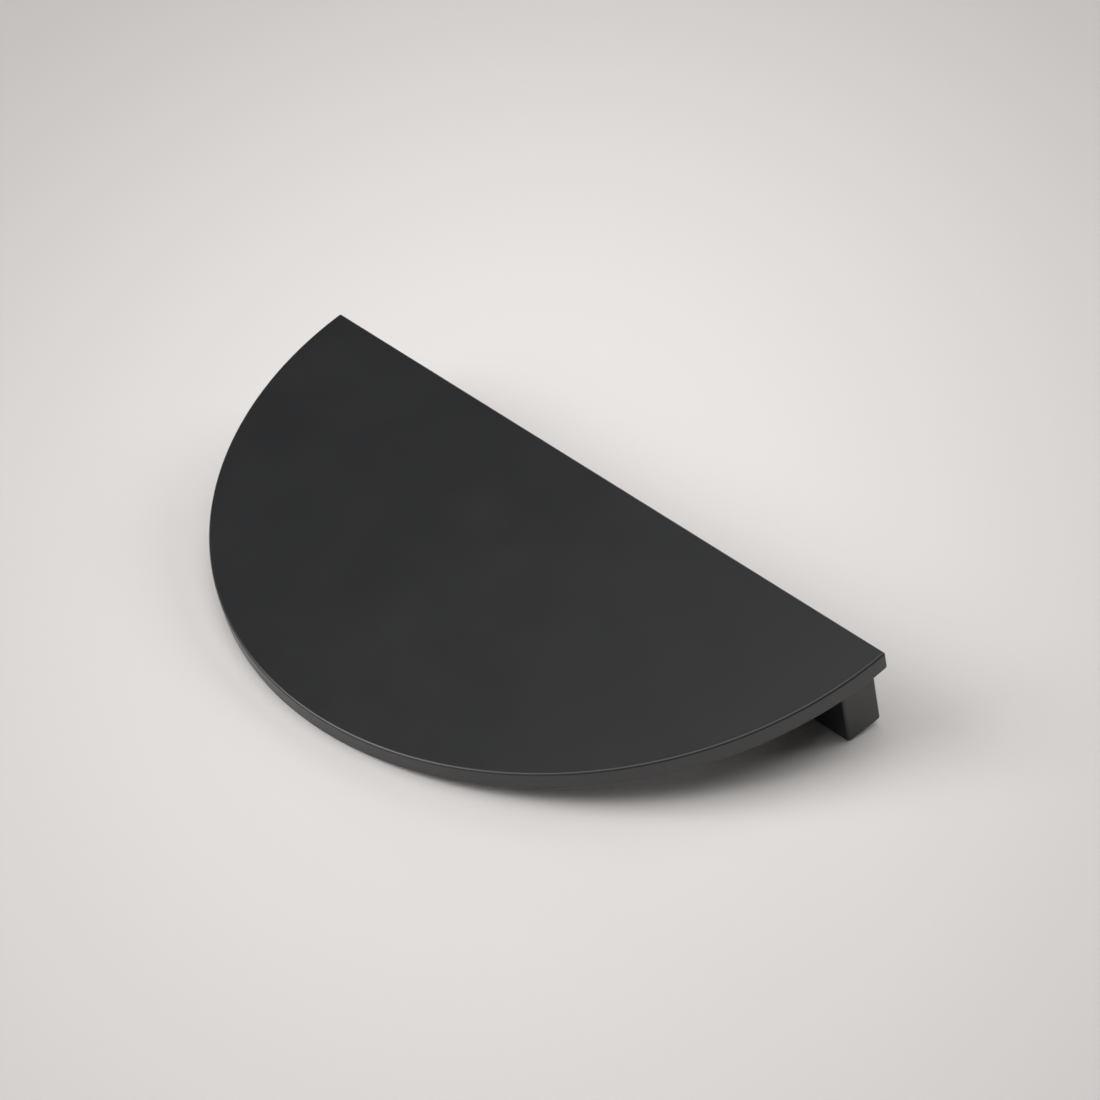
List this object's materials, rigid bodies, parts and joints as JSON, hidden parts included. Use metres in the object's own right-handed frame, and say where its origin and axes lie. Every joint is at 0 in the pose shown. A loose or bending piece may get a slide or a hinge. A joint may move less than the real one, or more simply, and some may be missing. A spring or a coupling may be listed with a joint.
{
  "type": "cabinet pull",
  "caption": "Half-round cabinet pull: a flat half-disc plate on short feet, held from behind by machine screws, with finger room under the plate.",
  "frame": {"origin": "on the mounting plane, midway between the two screw holes", "axes": "+X along the straight edge, +Y towards the curved edge, +Z away from the door or drawer front, out of the plate's face"},
  "size_m": [0.15, 0.075, 0.0195],
  "materials": {
    "matte_black_coat": "fine matte black powder coat over a zinc casting"
  },
  "bodies": {
    "root": {"pull": "matte_black_coat"}
  },
  "joints": []
}
